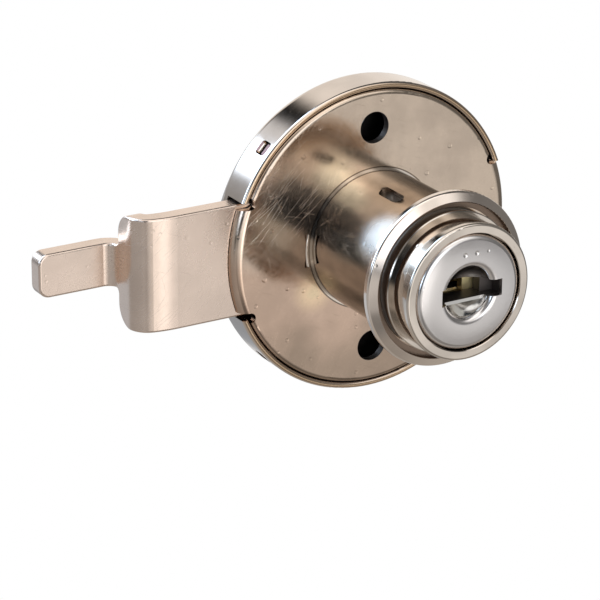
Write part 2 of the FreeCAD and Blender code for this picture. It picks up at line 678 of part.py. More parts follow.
def bolt_side_profile():
    """The bolt's bent strip seen along Z: strap, easing curve, bend, leg, bend and tongue."""
    back_y = BOLT_FRONT_Y + BOLT_T
    turn = math.radians(BOLT_EASE_DEG)
    spare = BOLT_EASE_R - BOLT_BEND_R
    near_x = BOLT_LEG_X + BOLT_BEND_R
    ease = (near_x + spare * math.sin(turn), BOLT_FRONT_Y + BOLT_EASE_R)
    near = (near_x, ease[1] - spare * math.cos(turn))
    far = (BOLT_LEG_X - TONGUE_BEND_R, TONGUE_FRONT_Y - TONGUE_BEND_R)
    outer_r = TONGUE_BEND_R + BOLT_T
    eased = 270 - BOLT_EASE_DEG
    half_eased = 270 - BOLT_EASE_DEG / 2
    half_bent = (eased + 180) / 2
    inner_ease_r = BOLT_EASE_R - BOLT_T
    inner_r = BOLT_BEND_R - BOLT_T
    return extruded([
        (BOLT_TAIL_X, BOLT_FRONT_Y),
        (BOLT_TAIL_X, back_y),
        (ease[0], back_y),
        (corner(ease, inner_ease_r, half_eased), corner(ease, inner_ease_r, eased)),
        (corner(near, inner_r, half_bent), (near[0] - inner_r, near[1])),
        (BOLT_LEG_X + BOLT_T, far[1]),
        (corner(far, outer_r, 45), (far[0], TONGUE_FRONT_Y + BOLT_T)),
        (TONGUE_END_X, TONGUE_FRONT_Y + BOLT_T),
        (TONGUE_END_X, TONGUE_FRONT_Y),
        (far[0], TONGUE_FRONT_Y),
        (corner(far, TONGUE_BEND_R, 45), (BOLT_LEG_X, far[1])),
        (BOLT_LEG_X, near[1]),
        (corner(near, BOLT_BEND_R, half_bent), corner(near, BOLT_BEND_R, eased)),
        (corner(ease, BOLT_EASE_R, half_eased), (ease[0], BOLT_FRONT_Y)),
    ], -BOLT_HALF, BOLT_HALF)


def bolt_end_outline():
    """Outline seen along X: the wide strap, the leg's rounded far corners and the narrow tongue."""
    r = BOLT_LEG_CORNER_R
    root = TONGUE_ROOT_R
    low_y = BOLT_FRONT_Y - BEYOND
    high_y = TONGUE_FRONT_Y + BOLT_T + BEYOND
    bend_y = BOLT_LEG_END_Y
    big = (BOLT_HALF - r, bend_y - r)
    small = (TONGUE_HALF + root, bend_y + root)
    half = [
        (BOLT_HALF, low_y),
        (BOLT_HALF, big[1]),
        (corner(big, r, 45), (big[0], bend_y)),
        (small[0], bend_y),
        (corner(small, root, 225), (TONGUE_HALF, small[1])),
        (TONGUE_HALF, high_y),
    ]
    prism = extruded(half + mirrored(half), -BOLT_TAIL_X - BEYOND, -TONGUE_END_X + BEYOND)
    prism.rotate(ORIGIN, Y_AXIS, -90)
    return prism


def mirrored(steps):
    """The same outline steps on the other side of the Y axis, walked the other way."""
    ends = [s[1] if isinstance(s[0], tuple) else s for s in steps]
    back = []
    for index in range(len(steps) - 1, -1, -1):
        back.append((-ends[index][0], ends[index][1]))
        if isinstance(steps[index][0], tuple):
            middle = (-steps[index][0][0], steps[index][0][1])
            start = (-ends[index - 1][0], ends[index - 1][1])
            back.append((middle, start))
    return back


def bolt_front_outline():
    """Outline seen along Y, with the strap's tail and the tongue's tip rounded at their corners."""
    low_y = BOLT_FRONT_Y - BEYOND
    high_y = TONGUE_FRONT_Y + BOLT_T + BEYOND
    tail = block(BOLT_LEG_X - BEYOND, BOLT_TAIL_X, low_y, high_y, -BOLT_HALF, BOLT_HALF)
    corners = [e for e in tail.Edges if runs_along(e, Y_AXIS) and e.Vertexes[0].Point.x > 0]
    tail = tail.makeFillet(BOLT_TAIL_CORNER_R, corners)
    tip = block(TONGUE_END_X, BOLT_LEG_X + BOLT_T, low_y, high_y, -TONGUE_HALF, TONGUE_HALF)
    corners = [e for e in tip.Edges if runs_along(e, Y_AXIS) and e.Vertexes[0].Point.x < BOLT_LEG_X]
    tip = tip.makeFillet(TONGUE_CORNER_R, corners)
    return tail.fuse(tip)


def build_nodes():
    """Every sub-part by its node name."""
    nodes = {
        "case_cup": make_case_cup(),
        "front_plate": make_front_plate(),
        "barrel": make_barrel(),
        "collar": make_collar(),
        "plug": make_plug(),
        "plug_face": make_plug_face(),
        "crank_disc": make_crank_disc(),
        "crank_pin": make_crank_pin(),
        "plug_washer": make_washer(),
        "plug_screw": make_plug_screw(),
        "bolt": make_bolt(),
    }
    for number in range(len(WAFER_YS)):
        nodes["wafer_%d" % (number + 1)] = make_wafer(number)
        nodes["wafer_spring_%d" % (number + 1)] = make_wafer_spring(number)
    return nodes


def main():
    os.makedirs("parts", exist_ok=True)
    for name, shape in build_nodes().items():
        if not shape.isValid():
            raise ValueError(name + " is not a valid solid")
        shape.exportStep(os.path.join("parts", name + ".step"))
        box = shape.BoundBox
        print("%-16s %8.2f mm3  x %.2f..%.2f  y %.2f..%.2f  z %.2f..%.2f" % (
            name, shape.Volume, box.XMin, box.XMax, box.YMin, box.YMax, box.ZMin, box.ZMax))


main()
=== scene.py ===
"""Looks for a round-case furniture cam lock: plated metals, a pale studio and the camera.

Lengths are in metres, in the part's own frame: the barrel lies along Y with the key side at -Y, and +Z is up.
"""
import bpy
import json
import math
from mathutils import Matrix, Vector


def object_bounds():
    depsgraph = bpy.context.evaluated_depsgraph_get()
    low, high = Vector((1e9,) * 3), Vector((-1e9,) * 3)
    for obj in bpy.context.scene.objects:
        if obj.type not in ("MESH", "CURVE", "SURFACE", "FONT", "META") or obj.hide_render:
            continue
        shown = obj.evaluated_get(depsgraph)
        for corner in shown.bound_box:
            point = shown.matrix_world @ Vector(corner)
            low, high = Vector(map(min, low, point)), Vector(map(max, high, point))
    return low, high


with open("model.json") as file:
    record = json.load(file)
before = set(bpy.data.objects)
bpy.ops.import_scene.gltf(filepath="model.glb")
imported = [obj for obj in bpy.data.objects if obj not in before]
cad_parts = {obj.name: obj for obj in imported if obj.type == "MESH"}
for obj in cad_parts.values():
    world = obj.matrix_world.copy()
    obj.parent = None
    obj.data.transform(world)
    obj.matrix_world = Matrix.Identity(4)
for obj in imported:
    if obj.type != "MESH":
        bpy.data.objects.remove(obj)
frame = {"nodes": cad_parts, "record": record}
cad_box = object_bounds()

MM = 0.001

# ---- camera ----
CAMERA_AZIMUTH = math.radians(-30.731)
CAMERA_ELEVATION = math.radians(21.546)
CAMERA_ROLL = math.radians(0.380)
CAMERA_DISTANCE = 377.8 * MM
CAMERA_OFFSET = Vector((-9.050 * MM, -7.729 * MM, 0.0))
CAMERA_SENSOR = 36.0
CAMERA_LENS = 182.5
CAMERA_NEAR = 10.0 * MM
CAMERA_FAR = 20.0

# ---- studio ----
FLOOR_SIZE = 6.0
BACKDROP_COLOUR = (1.0, 1.0, 1.0)
WARMTH_ON_BLUE = 1.3

# The room that the metal mirrors, as soft patches: direction, sharpness, brightness and warmth.
# The patches blend into one another; a warmth of 0 is neutral, above it is warm and below it is bluish.
ROOM_PATCHES = (
    ((0.47, -0.80, -0.37), 200, 0.81, 0.0),
    ((0.56, -0.78, -0.30), 200, 0.68, -0.02),
    ((0.20, -0.91, -0.37), 200, 1.75, 0.0),
    ((0.00, -0.93, -0.37), 200, 0.80, 0.02),
    ((-0.32, -0.87, -0.37), 150, 0.64, 0.0),
    ((-0.61, -0.70, -0.37), 100, 0.46, 0.0),
    ((-0.80, -0.47, -0.37), 60, 0.42, 0.0),
    ((-0.92, -0.11, -0.37), 60, 0.36, 0.0),
    ((-0.87, 0.33, -0.37), 60, 0.34, 0.0),
    ((0.58, -0.79, -0.17), 200, 0.26, 0.0),
    ((0.61, -0.79, -0.02), 120, 0.14, 0.0),
    ((0.52, -0.80, 0.22), 120, 0.26, 0.0),
    ((0.46, -0.79, 0.40), 200, 1.00, 0.0),
    ((0.30, -0.86, 0.41), 200, 1.30, 0.0),
    ((0.29, -0.79, 0.53), 200, 0.70, 0.03),
    ((0.12, -0.79, 0.59), 250, 1.18, 0.02),
    ((-0.05, -0.79, 0.61), 200, 0.80, 0.0),
    ((-0.22, -0.79, 0.57), 200, 0.40, 0.0),
    ((-0.42, -0.80, 0.43), 200, 0.07, -0.15),
    ((-0.58, -0.80, 0.14), 120, 0.02, -0.2),
    ((-0.60, -0.80, -0.08), 200, 0.03, -0.2),
    ((-0.53, -0.79, -0.30), 200, 0.36, 0.0),
    ((-0.43, -0.79, -0.42), 200, 0.24, 0.02),
    ((-0.14, -0.79, -0.60), 120, 0.18, 0.02),
    ((0.20, -0.79, -0.58), 120, 0.28, 0.02),
    ((0.35, -0.79, -0.50), 150, 0.42, 0.0),
    ((-0.08, -0.95, 0.28), 60, 1.60, -0.05),
    ((0.22, -0.63, -0.74), 60, 0.20, 0.06),
    ((-0.77, -0.56, 0.19), 170, 3.0, -0.18),
    ((-0.30, -0.54, 0.74), 120, 0.05, 0.0),
    ((-0.84, -0.50, -0.16), 150, 0.04, 0.0),
    ((-0.60, -0.56, 0.55), 120, 0.30, 0.0),
    ((-0.80, -0.50, 0.42), 60, 0.12, 0.0),
    ((0.00, -0.50, 0.87), 40, 1.35, 0.0),
    ((0.46, 0.00, 0.87), 50, 0.10, 0.0),
    ((0.96, -0.08, 0.11), 40, 0.16, 0.0),
    ((0.58, 0.80, 0.10), 120, 0.88, 0.04),
    ((0.40, 0.80, 0.42), 120, 0.80, 0.04),
    ((0.14, 0.81, 0.56), 200, 0.85, 0.04),
    ((0.02, 0.81, 0.58), 240, 0.0, 0.0),
    ((-0.03, 0.81, 0.58), 240, 0.0, 0.0),
    ((-0.08, 0.81, 0.57), 240, 0.0, 0.0),
    ((-0.20, 0.81, 0.54), 250, 0.80, -0.04),
    ((-0.45, 0.81, 0.37), 220, 3.2, -0.16),
    ((-0.60, 0.60, 0.52), 60, 3.8, -0.28),
    ((-0.54, 0.81, 0.20), 250, 0.40, -0.04),
    ((-0.60, 0.80, 0.04), 150, 0.30, 0.0),
    ((-0.58, 0.80, -0.17), 180, 0.04, 0.0),
    ((-0.48, 0.80, -0.37), 80, 0.55, -0.08),
    ((0.14, 0.80, -0.58), 80, 0.36, -0.08),
    ((0.37, 0.80, -0.47), 120, 0.80, 0.0),
    ((0.00, 0.00, -1.00), 20, 0.35, 0.05),
)

# ---- plating: tone, polish and relief ----
PATCH_SCALE = 110.0
GRAIN_SCALE = 2200.0
PEEL_SCALE = 380.0
# Detail and roughness of each noise.
PATCH_DETAIL = (3.0, 0.6)
GRAIN_DETAIL = (2.0, 0.6)
PEEL_DETAIL = (1.0, 0.5)
EDGE_DETAIL = (2.0, 0.5)
BOW_DETAIL = (0.0, 0.5)
# Values of the noise between which the tone and the polish change.
TONE_RANGE = (0.36, 0.64)
POLISH_RANGE = (0.35, 0.65)
LEAST_ROUGHNESS = 0.02
BUMP_DEPTH = 0.02 * MM
DRIFT_DIRECTION = (-0.55, 0.0, -0.83)
DRIFT_WANDER = 12.0 * MM
DRIFT_RANGE = (-4.0 * MM, 18.0 * MM)

# ---- hairlines and specks ----
# Families of hairlines: direction across them in degrees, lines per metre, stretch per metre and rarity.
HAIRLINES = (
    (-44.0, 2300.0, 190.0, 0.78),
    (-36.0, 2800.0, 230.0, 0.82),
    (-54.0, 2100.0, 170.0, 0.80),
    (-20.0, 1900.0, 260.0, 0.90),
    (12.0, 1500.0, 330.0, 0.92),
    (68.0, 1600.0, 360.0, 0.93),
)
HAIRLINE_WIDTH = 0.016 * MM
HAIRLINE_BOW = 2.0 * MM
HAIRLINE_DULLNESS = 0.2
# The bow's noise scale for the first family, and how much finer it is for each one after it.
BOW_SCALE = 75.0
BOW_SCALE_STEP = 9.0
# What keeps one family's chances apart from the next one's, and how far along its row a line may start.
FAMILY_STEP = 31.7
MOST_START = 9.0
# Where a line lies across its row: the least place and the spread, as shares of the row.
ROW_PLACE = 0.2
ROW_SPREAD = 0.6
# Where a line fades, as shares of its length from its middle.
LINE_FADE = (0.05, 0.48)
SPECK_SCALE = 900.0
SPECK_CHANCE = 0.62
SPECK_SIZE = 0.34
SPECK_EDGE = 0.12

# ---- wear, rust, painted highlights and painted shade ----
SCUFF_CENTRE = (-13.2 * MM, 0.0, 7.4 * MM)
SCUFF_REACH = (2.0 * MM, 6.5 * MM)
SCUFF_ELSEWHERE = 0.10
# Painted highlights on the plate, which stand in for the gold reflection of the barrel's lit side, and a
# painted shade on the barrel's top: centre, reach and tint.
PLATE_HIGHLIGHT_PLACES = (
    ((-5.8 * MM, 0.0, 9.4 * MM), (0.8 * MM, 4.2 * MM), (0.98, 0.86, 0.67)),
    ((-15.6 * MM, 0.0, 3.2 * MM), (1.5 * MM, 6.0 * MM), (1.0, 0.85, 0.70)),
    ((-8.6 * MM, 0.0, -5.4 * MM), (0.5 * MM, 3.6 * MM), (0.97, 0.72, 0.48)),
)
# Painted shade: a darker, browner place on the barrel's top.
BARREL_SHADE_PLACES = (
    ((1.0 * MM, -9.0 * MM, 8.9 * MM), (2.0 * MM, 8.0 * MM), (0.50, 0.41, 0.33)),
)
# Heights between which the plate is painted darker and browner towards its lowest edge, a painted shade.
LOW_SHADE_HEIGHTS = (-8.5 * MM, -14.5 * MM)
RUBBED_CENTRE = (-7.05 * MM, -13.0 * MM, 5.5 * MM)
RUBBED_REACH = (2.0 * MM, 5.5 * MM)
RUBBED_FRONT_Y = -16.3 * MM
RUBBED_DULLNESS = 0.18
RUST_DULLNESS = 0.15
INSIDE_DULLNESS = 0.35
DIMPLE_SHARE = 0.65

# ---- edges of the masks: radii from the barrel's axis, places along it and heights from it ----
MASK_SOFT = 0.04 * MM
CUP_INSIDE_R = 19.25 * MM
CUP_BACK_Y = 5.78 * MM
RIM_Y = 0.15 * MM
RIM_SOFT = 0.1 * MM
RIM_R = 19.1 * MM
PLATE_REAR_Y = 0.94 * MM
PLATE_REAR_R = 18.9 * MM
HOLE_Z = 14.4 * MM
HOLE_R = 2.03 * MM
LUG_END_R = 19.3 * MM
LUG_LEAST_Y = 1.0 * MM
LUG_LEAST_Z = 9.0 * MM
SEAM_R = 9.13 * MM
SEAM_END_R = 9.31 * MM
SEAM_Y = -0.2 * MM
DIMPLE_R = 8.62 * MM
DIMPLE_SOFT = 0.30 * MM
DIMPLE_FRONT_Y = -15.6 * MM
BORE_R = 7.2 * MM
NECK_R = 8.83 * MM
NECK_FRONT_Y = -17.4 * MM
NECK_REAR_Y = -15.7 * MM
CREST_R = 9.93 * MM
CREST_Y = -16.95 * MM
KEYWAY_HALF = 1.06 * MM
KEYWAY_SOFT = 0.01 * MM
KEYWAY_FRONT_Y = -21.2 * MM

# ---- colours ----
PLATE_TINT = (0.72, 0.58, 0.455)
PLATE_FAR_TINT = (0.66, 0.48, 0.365)
# The colour of the painted shade at the plate's lowest edge.
LOW_SHADE_TINT = (0.46, 0.345, 0.26)
SEAM_COLOUR = (0.40, 0.31, 0.24)
# Painted shade: the dark colour of the cup's inner faces, the plate's rear face and screw holes, and the
# keyway's walls.
RECESS_SHADE_COLOUR = (0.16, 0.14, 0.13)
# Painted shade in the barrel's bore, the groove under the collar and the dimple.
BARREL_RECESS_SHADE_COLOUR = (0.20, 0.16, 0.13)
# Painted shade on the collar's sunken floor and inner wall.
GROOVE_SHADE_COLOUR = (0.34, 0.25, 0.19)
LUG_END_COLOUR = (0.22, 0.13, 0.12)
# Painted reflection: the gold painted on the case's front rim.
RIM_REFLECTION_COLOUR = (0.72, 0.50, 0.31)


def new_tree(material):
    """Empties a material's nodes and returns its tree and its output node."""
    material.use_nodes = True
    tree = material.node_tree
    tree.nodes.clear()
    output = tree.nodes.new("ShaderNodeOutputMaterial")
    return tree, output


def colour(rgb):
    return (*rgb, 1.0)


class Nodes:
    """Short ways to add and join shader nodes."""

    def __init__(self, tree):
        self.tree = tree

    def add(self, kind, inputs=(), **settings):
        node = self.tree.nodes.new(kind)
        for name, value in settings.items():
            setattr(node, name, value)
        for key, value in dict(inputs).items():
            self.put(node.inputs[key], value)
        return node

    def put(self, socket, value):
        if isinstance(value, bpy.types.NodeSocket):
            self.tree.links.new(value, socket)
        else:
            socket.default_value = value

    def math(self, operation, a, b=0.0):
        return self.add("ShaderNodeMath", {0: a, 1: b}, operation=operation).outputs[0]

    def times(self, a, b):
        return self.math("MULTIPLY", a, b)

    def raised(self, value, mask, amount):
        """A value raised by an amount where the mask is 1."""
        return self.math("ADD", value, self.times(mask, amount))

    def ramp(self, value, low, high, to_low=0.0, to_high=1.0, smooth=True):
        kind = "SMOOTHSTEP" if smooth else "LINEAR"
        node = self.add("ShaderNodeMapRange", {
            "Value": value, "From Min": low, "From Max": high, "To Min": to_low, "To Max": to_high,
        }, interpolation_type=kind)
        return node.outputs["Result"]

    def mix(self, factor, a, b):
        """Blends two colours. Sockets 6, 7 and 2 are the ones that a Mix node uses for colours."""
        node = self.add("ShaderNodeMix", data_type="RGBA")
        self.put(node.inputs[0], factor)
        self.put(node.inputs[6], colour(a) if isinstance(a, tuple) else a)
        self.put(node.inputs[7], colour(b) if isinstance(b, tuple) else b)
        return node.outputs[2]

    def vector(self, operation, inputs, output="Vector"):
        return self.add("ShaderNodeVectorMath", inputs, operation=operation).outputs[output]

    def dot(self, a, b):
        return self.vector("DOT_PRODUCT", {0: a, 1: b}, "Value")

    def length(self, a):
        return self.vector("LENGTH", {0: a}, "Value")

    def scaled(self, a, factor):
        return self.vector("SCALE", {0: a, 3: factor})

    def split(self, a):
        return self.add("ShaderNodeSeparateXYZ", {0: a}).outputs

    def joined(self, *parts):
        return self.add("ShaderNodeCombineXYZ", enumerate(parts)).outputs[0]

    def noise(self, vector, scale, detail, roughness):
        node = self.add("ShaderNodeTexNoise", {
            "Vector": vector, "Scale": scale, "Detail": detail, "Roughness": roughness,
        })
        return node.outputs["Fac"]


def warmed(brightness, warmth):
    """A grey of a brightness, moved towards red or blue."""
    return (brightness * (1 + warmth), brightness, brightness * (1 - WARMTH_ON_BLUE * warmth))


def make_world():
    """A white backdrop for the camera, and a room of soft patches for the metal to mirror."""
    world = bpy.data.worlds.new("studio")
    bpy.context.scene.world = world
    world.use_nodes = True
    tree = world.node_tree
    tree.nodes.clear()
    nodes = Nodes(tree)
    direction = nodes.add("ShaderNodeTexCoord").outputs["Generated"]
    total = None
    weights = None
    for centre, sharpness, brightness, warmth in ROOM_PATCHES:
        near = nodes.dot(direction, Vector(centre).normalized())
        weight = nodes.math("EXPONENT", nodes.times(nodes.math("SUBTRACT", near, 1.0), sharpness))
        part = nodes.scaled(warmed(brightness, warmth), weight)
        total = part if total is None else nodes.vector("ADD", {0: total, 1: part})
        weights = weight if weights is None else nodes.math("ADD", weights, weight)
    room = nodes.scaled(total, nodes.math("DIVIDE", 1.0, weights))
    to_camera = nodes.add("ShaderNodeLightPath").outputs["Is Camera Ray"]
    final = nodes.mix(to_camera, room, BACKDROP_COLOUR)
    background = nodes.add("ShaderNodeBackground", {"Color": final, "Strength": 1.0})
    output = nodes.add("ShaderNodeOutputWorld")
    tree.links.new(background.outputs[0], output.inputs[0])


def make_floor():
    """A white sheet under the case, as bright as the backdrop, which the metal doesn't mirror."""
    low = cad_box[0].z
    half = FLOOR_SIZE / 2
    mesh = bpy.data.meshes.new("floor")
    corners = [(-half, -half, low), (half, -half, low), (half, half, low), (-half, half, low)]
    mesh.from_pydata(corners, [], [(0, 1, 2, 3)])
    floor = bpy.data.objects.new("floor", mesh)
    bpy.context.scene.collection.objects.link(floor)
    material = bpy.data.materials.new("floor_paper")
    tree, output = new_tree(material)
    nodes = Nodes(tree)
    shader = nodes.add("ShaderNodeEmission", {"Color": colour(BACKDROP_COLOUR), "Strength": 1.0})
    tree.links.new(shader.outputs[0], output.inputs[0])
    mesh.materials.append(material)
    floor.visible_glossy = False


def make_camera():
    """A long lens, turned to face the barrel from its left and a little above."""
    data = bpy.data.cameras.new("camera")
    data.sensor_width = CAMERA_SENSOR
    data.lens = CAMERA_LENS
    data.clip_start = CAMERA_NEAR
    data.clip_end = CAMERA_FAR
    a = CAMERA_AZIMUTH
    e = CAMERA_ELEVATION
    back = Vector((math.sin(a) * math.cos(e), -math.cos(a) * math.cos(e), math.sin(e)))
    right = Vector((math.cos(a), math.sin(a), 0.0))
    up = back.cross(right)
    turn = Matrix((right, up, back)).transposed() @ Matrix.Rotation(CAMERA_ROLL, 3, "Z")
    place = turn @ (CAMERA_OFFSET + Vector((0.0, 0.0, CAMERA_DISTANCE)))
    camera = bpy.data.objects.new("camera", data)
    camera.matrix_world = Matrix.Translation(place) @ turn.to_4x4()
    bpy.context.scene.collection.objects.link(camera)
    bpy.context.scene.camera = camera


def plating_tint(nodes, place, patches, tint, far_tint, places, painted_low_shade):
    """The plating's colour: its drift to far_tint, the painted highlights and painted shade of its places,
    and the painted shade on its lowest part.
    """
    if far_tint is not None:
        drift = nodes.raised(nodes.dot(place, DRIFT_DIRECTION), patches, DRIFT_WANDER)
        tint = nodes.mix(nodes.ramp(drift, *DRIFT_RANGE), tint, far_tint)
    # Painted highlights and painted shade, each a centre, a reach and a tint.
    for centre, reach, painted_tint in places:
        near = nodes.ramp(distance_from(nodes, place, centre), *reach, 1.0, 0.0)
        tint = nodes.mix(near, tint, painted_tint)
    # Painted shade: the plate darker and browner towards its lowest edge.
    if painted_low_shade:
        tint = shaded_below(nodes, place, tint)
    return tint


def metal(name, tint, roughness, spread, hairlines=0.0, specks=0.0, peel=0.0, tint_shift=0.06,
          grain_share=0.5, far_tint=None, places=(), painted_low_shade=False, scuffs=None, rubbed=None, seam=None,
          rust_and_reflection=None, rust_and_reflection_colour=LUG_END_COLOUR, recess_shade=None, shade_colour=RECESS_SHADE_COLOUR):
    """Plated metal with patchy tone and polish, hairlines, specks and a faint orange peel.

    tint_shift and spread are how far the tone and the roughness move, and grain_share is the fine grain's
    part in the roughness.
    far_tint is the tone that the plating drifts to, low and on the bolt's side.
    places are patches of painted highlight and painted shade, each a centre, a reach and a tint, and
    painted_low_shade paints a shade that browns the lowest part.
    scuffs, rubbed, seam, rust_and_reflection and recess_shade give masks: where hairlines crowd, worn polish,
    a seam's grime, rusted edges and a painted gold reflection in rust_and_reflection_colour, and painted
    shade in recesses, dull and dark in shade_colour.
    """
    material = bpy.data.materials.new(name)
    tree, output = new_tree(material)
    nodes = Nodes(tree)
    place = nodes.add("ShaderNodeTexCoord").outputs["Object"]
    patches = nodes.noise(place, PATCH_SCALE, *PATCH_DETAIL)
    grain = nodes.noise(place, GRAIN_SCALE, *GRAIN_DETAIL)
    tone = nodes.ramp(patches, *TONE_RANGE, 1 - tint_shift, 1 + tint_shift)
    base = nodes.scaled(plating_tint(nodes, place, patches, tint, far_tint, places, painted_low_shade), tone)
    dull = nodes.raised(nodes.times(patches, 1 - grain_share), grain, grain_share)
    least = max(LEAST_ROUGHNESS, roughness - spread)
    polish = nodes.ramp(dull, *POLISH_RANGE, least, roughness + spread)
    if rubbed is not None:
        polish = nodes.raised(polish, rubbed(nodes, place), RUBBED_DULLNESS)
    height = nodes.times(nodes.noise(place, PEEL_SCALE, *PEEL_DETAIL), peel)
    if hairlines > 0:
        lines = hairline_marks(nodes, place)
        if scuffs is not None:
            lines = nodes.times(lines, scuffs(nodes, place))
        height = nodes.raised(height, lines, -hairlines)
        polish = nodes.raised(polish, lines, HAIRLINE_DULLNESS)
    if specks > 0:
        height = nodes.raised(height, speck_marks(nodes, place), -specks)
    if seam is not None:
        base = nodes.mix(seam(nodes, place), base, SEAM_COLOUR)
    # Rusted lug ends, and a painted gold reflection on the case's front rim.
    if rust_and_reflection is not None:
        rust_and_reflection_mask = rust_and_reflection(nodes, place)
        base = nodes.mix(rust_and_reflection_mask, base, rust_and_reflection_colour)
        polish = nodes.raised(polish, rust_and_reflection_mask, RUST_DULLNESS)
    # Painted shade: recesses darkened to shade_colour and dulled.
    if recess_shade is not None:
        shaded_part = recess_shade(nodes, place)
        base = nodes.mix(shaded_part, base, shade_colour)
        polish = nodes.raised(polish, shaded_part, INSIDE_DULLNESS)
    bump = nodes.add("ShaderNodeBump", {"Height": height, "Strength": 1.0, "Distance": BUMP_DEPTH})
    shader = nodes.add("ShaderNodeBsdfPrincipled", {
        "Base Color": base, "Metallic": 1.0, "Roughness": polish, "Normal": bump.outputs["Normal"],
    })
    tree.links.new(shader.outputs[0], output.inputs[0])
    return material


def hairline_marks(nodes, place):
    """Thin, slightly bowed scratches of many lengths, thrown about at random in a few directions."""
    total = None
    for index, (degrees, density, stretch, rarity) in enumerate(HAIRLINES):
        a = math.radians(degrees)
        across = nodes.dot(place, (math.cos(a), 0.0, math.sin(a)))
        along = nodes.dot(place, (-math.sin(a), 0.0, math.cos(a)))
        bow = nodes.noise(place, BOW_SCALE + BOW_SCALE_STEP * index, *BOW_DETAIL)
        across = nodes.times(nodes.raised(across, bow, HAIRLINE_BOW), density)
        cell = nodes.math("FLOOR", across)
        chance = nodes.add("ShaderNodeTexWhiteNoise", {"W": nodes.math("ADD", cell, FAMILY_STEP * index)},
                           noise_dimensions="1D").outputs["Value"]
        run = nodes.math("ADD", nodes.times(along, stretch), nodes.times(chance, MOST_START))
        piece = nodes.joined(cell, nodes.math("FLOOR", run), float(index))
        draw = nodes.add("ShaderNodeTexWhiteNoise", {"Vector": piece}, noise_dimensions="3D")
        draws = nodes.add("ShaderNodeSeparateColor", {0: draw.outputs["Color"]}).outputs
        centre = nodes.raised(ROW_PLACE, draws[0], ROW_SPREAD)
        gap = nodes.math("ABSOLUTE", nodes.math("SUBTRACT", nodes.math("FRACT", across), centre))
        line = nodes.ramp(gap, 0.0, HAIRLINE_WIDTH * density, 1.0, 0.0)
        end = nodes.math("ABSOLUTE", nodes.math("SUBTRACT", nodes.math("FRACT", run), 0.5))
        line = nodes.times(line, nodes.ramp(end, *LINE_FADE, 1.0, 0.0))
        line = nodes.times(line, nodes.math("GREATER_THAN", draws[1], rarity))
        total = line if total is None else nodes.math("MAXIMUM", total, line)
    return total


def speck_marks(nodes, place):
    """Small pits and dents from tumbling, sparse and of many sizes."""
    cells = nodes.add("ShaderNodeTexVoronoi", {"Vector": place, "Scale": SPECK_SCALE})
    chance = nodes.add("ShaderNodeSeparateColor", {0: cells.outputs["Color"]}).outputs[0]
    size = nodes.ramp(chance, SPECK_CHANCE, 1.0, 0.0, SPECK_SIZE, smooth=False)
    return nodes.ramp(nodes.math("SUBTRACT", size, cells.outputs["Distance"]), 0.0, SPECK_EDGE)


def nearer_than(nodes, value, limit, soft=MASK_SOFT):
    return nodes.ramp(value, limit - soft, limit + soft, 1.0, 0.0)


def beyond(nodes, value, limit, soft=MASK_SOFT):
    return nodes.ramp(value, limit - soft, limit + soft, 0.0, 1.0)


def distance_from(nodes, place, centre):
    return nodes.length(nodes.vector("SUBTRACT", {0: place, 1: centre}))


def height_from_axis(nodes, place):
    """How far above or below the barrel's axis a place is."""
    return nodes.math("ABSOLUTE", nodes.split(place)[2])


def radius_and_y(nodes, place):
    """Distance from the barrel's axis, and the place along it."""
    x, y, z = nodes.split(place)
    return nodes.length(nodes.joined(x, z)), y


def inside_case(nodes, place):
    """1 on the cup's inner faces, which are painted dark as a painted shade."""
    radius, y = radius_and_y(nodes, place)
    return nodes.times(nearer_than(nodes, radius, CUP_INSIDE_R), nearer_than(nodes, y, CUP_BACK_Y))


def rim_gold_reflection(nodes, place):
    """1 on the case's front rim, which is painted gold as a painted reflection of the gold plate."""
    radius, y = radius_and_y(nodes, place)
    return nodes.times(nearer_than(nodes, y, RIM_Y, RIM_SOFT), beyond(nodes, radius, RIM_R))


def behind_plate(nodes, place):
    """1 on the plate's rear face and the walls of its screw holes, which are painted dark as a painted shade.
    """
    radius, y = radius_and_y(nodes, place)
    rear = nodes.times(beyond(nodes, y, PLATE_REAR_Y), nearer_than(nodes, radius, PLATE_REAR_R))
    above_hole = nodes.math("SUBTRACT", height_from_axis(nodes, place), HOLE_Z)
    from_hole = nodes.length(nodes.joined(nodes.split(place)[0], 0.0, above_hole))
    return nodes.math("MAXIMUM", rear, nearer_than(nodes, from_hole, HOLE_R))


def lug_ends(nodes, place):
    """1 on the ends of the lugs that show through the slots in the case's wall, which have lost their plating
    and rusted.
    """
    radius, y = radius_and_y(nodes, place)
    height = height_from_axis(nodes, place)
    outer = nodes.times(beyond(nodes, radius, LUG_END_R), beyond(nodes, height, LUG_LEAST_Z))
    return nodes.times(outer, beyond(nodes, y, LUG_LEAST_Y))


def seam_round_foot(nodes, place):
    """1 in the seam between the barrel's foot and the plate."""
    radius, y = radius_and_y(nodes, place)
    ring = nodes.times(beyond(nodes, radius, SEAM_R), nearer_than(nodes, radius, SEAM_END_R))
    return nodes.times(ring, beyond(nodes, y, SEAM_Y))


def inside_barrel(nodes, place):
    """1 in the barrel's bore and in the groove under the collar, and DIMPLE_SHARE in its dimple: the places
    painted dark as a painted shade.
    """
    radius, y = radius_and_y(nodes, place)
    sunk = nearer_than(nodes, radius, DIMPLE_R, DIMPLE_SOFT)
    dimple = nodes.times(beyond(nodes, y, DIMPLE_FRONT_Y), nodes.times(sunk, DIMPLE_SHARE))
    bore = nearer_than(nodes, radius, BORE_R)
    neck = nodes.times(beyond(nodes, y, NECK_FRONT_Y), nearer_than(nodes, radius, NECK_R))
    groove = nodes.times(neck, nearer_than(nodes, y, NECK_REAR_Y))
    return nodes.math("MAXIMUM", dimple, nodes.math("MAXIMUM", bore, groove))


